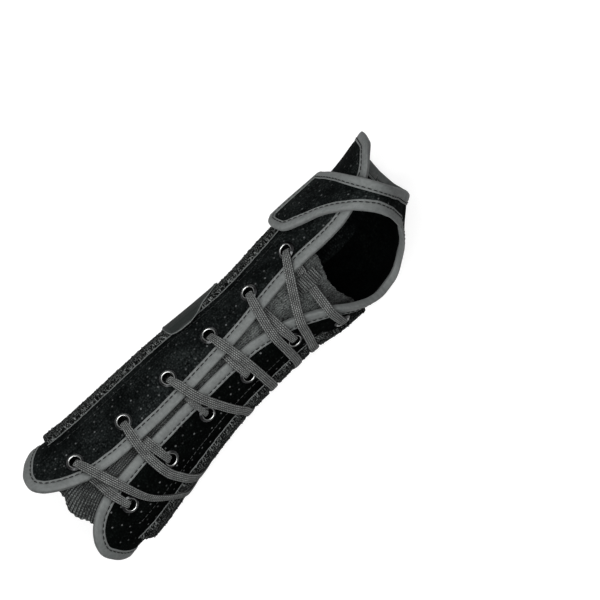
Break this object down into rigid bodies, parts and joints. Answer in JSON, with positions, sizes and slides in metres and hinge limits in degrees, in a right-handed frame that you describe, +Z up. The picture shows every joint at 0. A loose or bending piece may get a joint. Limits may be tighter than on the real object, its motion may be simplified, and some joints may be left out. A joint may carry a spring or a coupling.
{
  "type": "lace-up wrist brace",
  "caption": "Laced wrist brace for a left hand: padded velour sleeve with taped edges, knitted tongue, metal eyelets, flat laces drawn to one pull strap, and a thumb-web strap.",
  "frame": {"origin": "on the flat base, under the pull strap, level with the middle of the wrist", "axes": "+X along the forearm to the fingers, +Y to the back of the hand, +Z up to the lacing and the thumb"},
  "size_m": [0.2507, 0.0775, 0.0844],
  "materials": {
    "velour": "black perforated velour over foam",
    "binding": "satin grey folded tape",
    "knit": "dark grey ribbed elastic knit",
    "pile": "black looped pile",
    "pull_strap": "smooth dark grey coated webbing",
    "lace": "dark grey flat braid",
    "eyelet": "polished black nickel plate"
  },
  "bodies": {
    "root": {"back_panel": "velour", "palm_panel": "velour", "thumb_strap": "velour", "back_binding": "binding", "palm_binding": "binding", "tongue": "knit", "tongue_loop": "knit", "pile_pad": "pile", "pull_strap": "pull_strap", "back_eyelet_1": "eyelet", "back_eyelet_2": "eyelet", "back_eyelet_3": "eyelet", "back_eyelet_4": "eyelet", "back_eyelet_5": "eyelet", "back_eyelet_6": "eyelet", "palm_eyelet_1": "eyelet", "palm_eyelet_2": "eyelet", "palm_eyelet_3": "eyelet", "palm_eyelet_4": "eyelet", "palm_eyelet_5": "eyelet", "palm_eyelet_6": "eyelet", "lace_elbow": "lace", "lace_middle": "lace", "lace_hand": "lace"}
  },
  "joints": []
}
